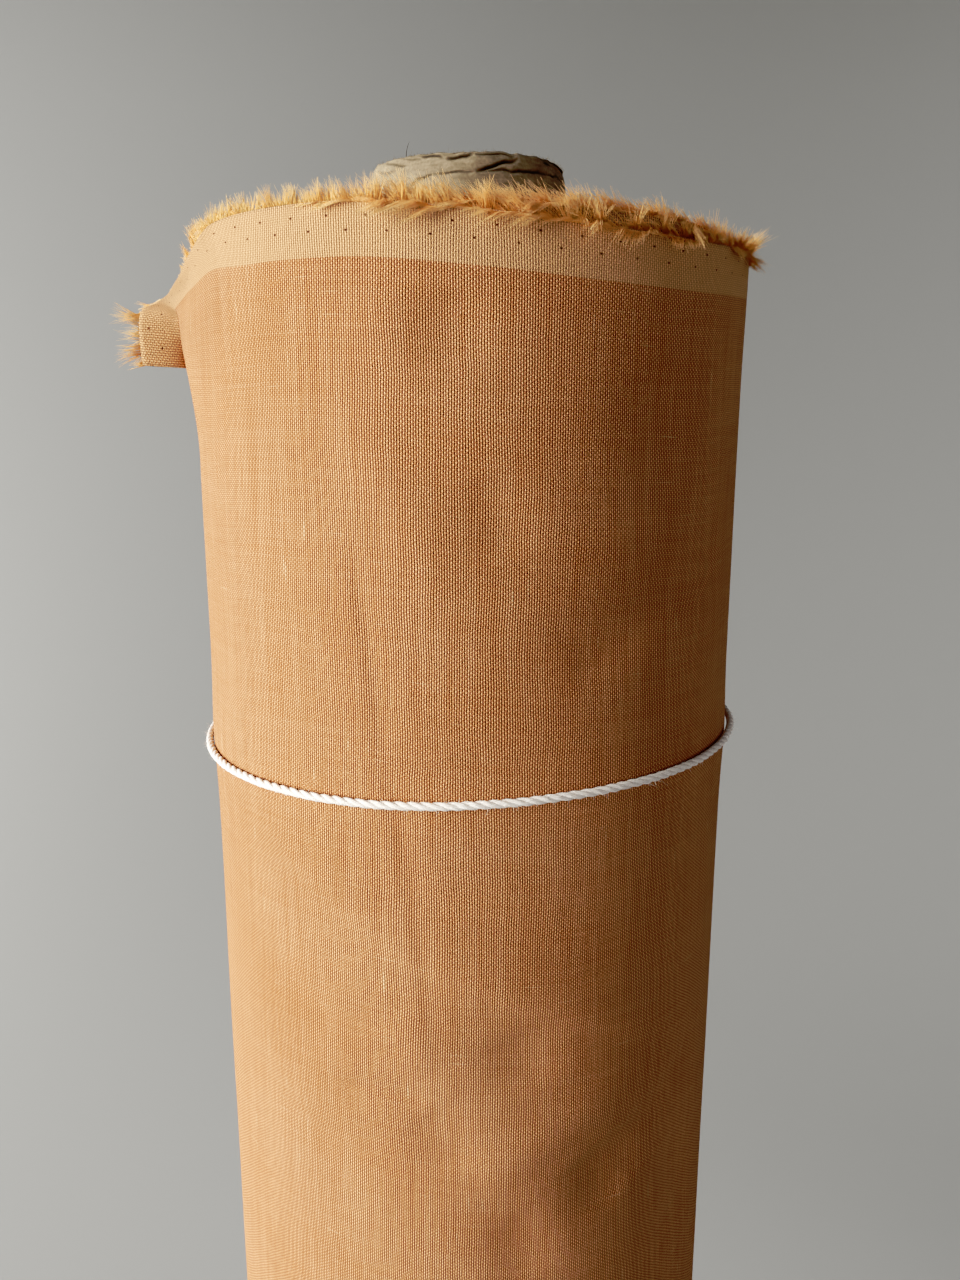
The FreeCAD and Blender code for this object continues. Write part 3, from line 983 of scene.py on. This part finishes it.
def makeCore():
    # three plies, one inside the other
    cover = tubeShell("coreCoverPly", kraftCover, core["board"] - 0.9, core["cover"], coverRim,
                      541, carved=True)
    board = tubeShell("coreBoard", kraftBoard, core["liner"], core["board"] - 1.2, boardRim, 181)
    liner = tubeShell("coreLinerPly", kraftLiner, core["bore"], core["liner"] - 0.02, boardRim,
                      181)
    finishPiece(cover, "roll", ("core_cover_ply",))
    finishPiece(board, "roll", ("core_board",))
    finishPiece(liner, "roll", ("core_liner_ply",))
    # fibres torn out of the rim: one long and dark, the rest a short pale nap
    random = np.random.default_rng(69)
    angle = np.concatenate([[-38.5], random.uniform(-180, 180, core["napFibres"])])
    first = np.arange(len(angle)) == 0
    root = onRoll(angle, np.where(first, 28.4, random.uniform(27.4, 28.6, len(angle))),
                  core["length"] - coverRim(angle, 1) - 0.15)
    heading = unit(np.array([0, 0, 1.0]) + 0.9 * random.normal(size=root.shape)
                   * np.where(first, 0.06, 1)[:, None])
    bend = 0.4 * random.normal(size=root.shape)
    bend[0] = (0.25, 0, 0)
    length = np.where(first, 4.2, random.uniform(0.3, 1.1, len(angle)))
    nap = strandPiece("coreNap", kraftCover, root, heading, bend, length,
                      np.where(first, 0.11, 0.03), np.where(first, 1.0, 0.0))
    finishPiece(nap, "roll")


makeCore()
tape = frame["nodes"]["start_tape"].data.materials
tape.clear()
tape.append(kraftMaterial("gummedPaperTape", "#B08A55", "#C9A673"))
print("core made")


string = {
    "radius": 1.18,
    "strandOffset": 0.47,    # from the string's middle to a strand's
    "strandRadius": 0.72,
    "twistPitch": 10.8,      # one turn of the loops, and of the tighter knots
    "knotPitch": 8.0,
    "clearance": 0.05,
    "strandPoints": 640,
    "strandSides": 9,
    "fuzz": 700,             # loose fibres on each loop
}
# each tie: mm above its CAD loop, rise per mm along +X and +Y, noise seed, dip at its front and
# lift at its right
ties = {
    "upper": (-0.4, (0.030, -0.017), 71, 0.9, 0.5),
    "lower": (0.0, (-0.018, 0.012), 72, 0.0, 0.0),
}


def twistedCord(name, path, across, up, pitch):
    # three round strands twisted about a path: centre = path + offset (across cos p + up sin p),
    # with p = 2 pi arc / pitch + 120 degrees for each strand; across and up span the plane square
    # to the path
    sides = string["strandSides"]
    step = np.linalg.norm(np.diff(path, axis=0), axis=1)
    arc = np.concatenate([[0], np.cumsum(step)])
    points, faces, uvs = [], [], []
    turn = 2 * math.pi * arc / pitch
    around = np.linspace(0, 2 * math.pi, sides, endpoint=False)
    for k in range(3):
        phase = turn + 2 * math.pi * k / 3
        centre = path + string["strandOffset"] * (across * np.cos(phase)[:, None]
                                                  + up * np.sin(phase)[:, None])
        thick = string["strandRadius"] * (1 + 0.06 * np.sin(arc * 0.9 + k * 2)
                                          + 0.04 * np.sin(arc * 2.3 + k))
        ring = (across[:, None] * np.cos(around)[None, :, None]
                + up[:, None] * np.sin(around)[None, :, None])
        skin = centre[:, None] + ring * thick[:, None, None]
        start = k * len(path) * sides
        points.append(skin.reshape(-1, 3))
        faces.append(gridFaces(len(path), sides, wrapColumns=True, start=start))
        uvs.append(np.stack(np.broadcast_arrays(arc[:, None], (around * 0.7)[None, :] + k * 9), -1))
        first = start + np.arange(sides)
        last = first + (len(path) - 1) * sides
        caps = [[first[0], first[i + 1], first[i]] for i in range(1, sides - 1)]
        caps += [[last[0], last[i], last[i + 1]] for i in range(1, sides - 1)]
        faces.append(np.array(caps))
    return makePiece(name, np.concatenate(points), faces, [cotton],
                     uv=np.concatenate([u.reshape(-1, 2) for u in uvs]))


def tieLoop(name, level, lean, seed, dip, lift):
    # circle round the roll, open at the knot at the back: height = level + lean x + lean y + a slow
    # noise - dip near the front; the radius swells by lift at the right
    angle = np.linspace(-177.4, 177.4, string["strandPoints"])
    sway = 0.35 * waveNoise(angle * 1.2, 0 * angle, seed, 90)
    sway -= dip * np.exp(-((angle + 26) / 30) ** 2)
    radius = cloth["radius"] + string["clearance"] + string["radius"]
    flat = onRoll(angle, radius + lift * np.exp(-((angle - 82) / 14) ** 2), 0)
    path = flat.copy()
    path[:, 2] = level + lean[0] * flat[:, 0] + lean[1] * flat[:, 1] + sway
    across = unit(flat)
    tangent = unit(np.gradient(path, axis=0))
    up = unit(np.cross(tangent, across))
    return twistedCord(name, path, across, up, string["twistPitch"]), path


def cordFromPath(name, path):
    # twisted string along any path: its cross directions are square to the path and nearly level
    tangent = unit(np.gradient(path, axis=0))
    across = unit(np.cross(tangent, np.array([0.12, 0.2, 0.97])))
    up = unit(np.cross(tangent, across))
    return twistedCord(name, path, across, -up, string["knotPitch"])


def softPath(corners, count):
    # quadratic B-spline steered by given points, ends kept: each span is
    # ((1 - f)^2 a + (1 + 2f - 2f^2) b + f^2 c) / 2
    padded = np.concatenate([corners[:1], corners, corners[-1:]])
    spans = len(padded) - 2
    t = np.linspace(0, spans - 1e-6, count)
    i = t.astype(int)
    f = (t - i)[:, None]
    a, b, c = padded[i], padded[i + 1], padded[i + 2]
    return 0.5 * ((1 - f) ** 2 * a + (1 + 2 * f - 2 * f ** 2) * b + f ** 2 * c)


# the two ends of a knot, from the loop through the knot and down: mm across, out and up
knotRoutes = {
    "Right": ((4.5, 0, 0), (1.5, 0.4, 1.2), (-2.2, 2.2, 1.6), (-2.6, 3.0, -1.4), (1.0, 2.6, -2.2),
              (5.0, 1.6, -6), (8.0, 0.9, -14), (8.6, 0.8, -24)),
    "Left": ((-4.5, 0, 0), (-1.5, 0.5, -1.4), (2.3, 2.0, -1.2), (2.6, 3.2, 1.4), (-1.0, 3.4, 1.8),
             (-3.4, 3.0, -2.5), (-6.6, 1.4, -10), (-7.6, 0.8, -22)),
}


def tieKnot(name, level, lean):
    # both ends of the string along their routes, joined into one piece
    depth = cloth["radius"] + string["clearance"] + string["radius"]
    start = np.array([0, depth, level + lean[1] * depth])
    pieces = []
    for side, route in knotRoutes.items():
        pieces.append(cordFromPath(name + side, softPath(start + np.array(route), 70)))
    first = pieces[0]
    with bpy.context.temp_override(active_object=first, selected_editable_objects=pieces):
        bpy.ops.object.join()
    first.name = name
    return first


def cordFuzz(name, path, count, seed):
    # short loose fibres standing out of the string, none of them towards the cloth
    random = np.random.default_rng(seed)
    i = random.integers(5, len(path) - 5, count)
    tangent = unit(np.gradient(path, axis=0))[i]
    out = unit(random.normal(size=(count, 3)))
    out = unit(out - tangent * np.sum(out * tangent, 1, keepdims=True))
    radial = unit(path[i] * np.array([1, 1, 0]))
    out = unit(out + radial * 0.8 * (np.sum(out * radial, 1, keepdims=True) < -0.1) * 2)
    root = path[i] + out * (string["radius"] - 0.25)
    heading = unit(out + tangent * random.normal(0, 1.0, (count, 1)))
    bend = random.normal(0, 0.5, (count, 3))
    inward = np.sum(bend * radial, 1, keepdims=True)
    bend = bend - radial * np.minimum(inward, 0)
    length = random.uniform(0.5, 1.6, count)
    radius = np.full(count, 0.035)
    return strandPiece(name, cottonFuzz, root, heading, bend, length, radius,
                       random.uniform(0, 1, count))


for side, (above, lean, seed, dip, lift) in ties.items():
    body = side + "_loop"
    loopLow, loopHigh = nodeBox(side + "_tie")
    level = (loopLow[2] + loopHigh[2]) / 2 + above
    loop, loopPath = tieLoop(side + "TieString", level, lean, seed, dip, lift)
    finishPiece(loop, body, (side + "_tie",))
    finishPiece(tieKnot(side + "TieKnot", level, lean), body,
                (side + "_tie_knot",))
    finishPiece(cordFuzz(side + "TieFuzz", loopPath, string["fuzz"], seed + 5), body)
print("ties made")


studio = {
    "floorRadius": 1.7,
    "wallRadius": 4.3,
    "wallHeight": 4.6,
    "plaster": "#9E9D99",
    "windowPower": 46.0,
    "backdropPower": 100.0,
    "fillPower": 13.5,
    "air": 0.05,
}


def sweepFloor():
    # round floor that curves up into a plain wall all round, seen from inside: a profile of a line,
    # a quarter circle and a line, turned about the middle
    arcAngle = np.linspace(-90, 0, 14)
    corner = studio["wallRadius"] - studio["floorRadius"]
    radius = np.concatenate([np.linspace(0.02, studio["floorRadius"], 10),
                             studio["floorRadius"] + corner * np.cos(np.radians(arcAngle[1:])),
                             [studio["wallRadius"]]])
    level = np.concatenate([np.zeros(10), corner + corner * np.sin(np.radians(arcAngle[1:])),
                            [studio["wallHeight"]]])
    angle = np.linspace(-180, 180, 97)
    points = onRoll(angle[None, :], radius[:, None] / mm, level[:, None] / mm)
    centre = len(points.reshape(-1, 3))
    faces = [gridFaces(len(radius), len(angle)),
             np.array([[centre, i + 1, i] for i in range(len(angle) - 1)])]
    allPoints = np.concatenate([points.reshape(-1, 3), [[0, 0, 0]]])
    material, tree, shader = newMaterial("paintedPlasterPaleGrey")
    shader.inputs["Base Color"].default_value = linearColour(studio["plaster"])
    shader.inputs["Roughness"].default_value = 0.9
    floor = makePiece("sweepFloor", allPoints, faces, [material], merge=True)


def areaLight(name, place, target, size, power, colour, spread=180):
    # a rectangular light aimed at a target, hidden from the camera
    data = bpy.data.lights.new(name, "AREA")
    data.shape = "RECTANGLE"
    data.size, data.size_y = size
    data.energy = power
    data.spread = math.radians(spread)
    data.color = linearColour(colour)[:3]
    light = bpy.data.objects.new(name, data)
    bpy.context.scene.collection.objects.link(light)
    light.location = place
    light.rotation_euler = (Vector(target) - Vector(place)).to_track_quat("-Z", "Y").to_euler()
    light.visible_camera = False


sweepFloor()
areaLight("windowLight", (-2.26, -0.82, 1.62), (0, 0, 1.2), (2.0, 2.0), studio["windowPower"],
          "#FFFFFF", spread=84)
areaLight("backdropLight", (-2.2, 0.9, 2.2), (-1.3, 4.0, 0.9), (1.6, 1.6), studio["backdropPower"],
          "#FFFFFF")
areaLight("fillLight", (0.8, -2.5, 1.5), (0, 0, 1.2), (1.6, 1.6), studio["fillPower"], "#F4F2FF")
world = bpy.data.worlds.new("studioAir")
bpy.context.scene.world = world
world.use_nodes = True
background = world.node_tree.nodes["Background"]
background.inputs["Color"].default_value = linearColour("#DDE2EA")
background.inputs["Strength"].default_value = studio["air"]

view = {
    "place": (0.0, -0.3365, 1.432),
    "pitch": 12.68,
    "yaw": 0.58,
    "roll": -0.07,
    "lens": 29.14,
}
cameraData = bpy.data.cameras.new("camera")
cameraData.lens = view["lens"]
cameraData.sensor_width = 36.0
cameraData.clip_start = 0.02
camera = bpy.data.objects.new("camera", cameraData)
bpy.context.scene.collection.objects.link(camera)
camera.location = view["place"]
camera.rotation_euler = Euler((math.radians(90 - view["pitch"]), math.radians(view["roll"]),
                               math.radians(-view["yaw"])))
bpy.context.scene.camera = camera
bpy.context.scene.view_settings.view_transform = "Standard"
bpy.context.scene.view_settings.look = "None"
# a print-like tone curve: deep shadows, soft highlights (scene value, shown value, both linear)
toneCurve = ((0, 0), (0.022, 0.0048), (0.05, 0.042), (0.103, 0.113), (0.188, 0.25), (0.331, 0.434),
             (0.47, 0.57), (0.80, 0.79), (1.32, 1.0))
brightest = toneCurve[-1][0]
shown = [(value / brightest, result) for value, result in toneCurve]
bpy.context.scene.view_settings.use_curve_mapping = True
mapping = bpy.context.scene.view_settings.curve_mapping
mapping.white_level = (brightest, brightest, brightest)
curve = mapping.curves[3]
curve.points[0].location = shown[0]
curve.points[len(curve.points) - 1].location = shown[-1]
for value, result in shown[1:-1]:
    curve.points.new(value, result)
mapping.update()
print("stage made")
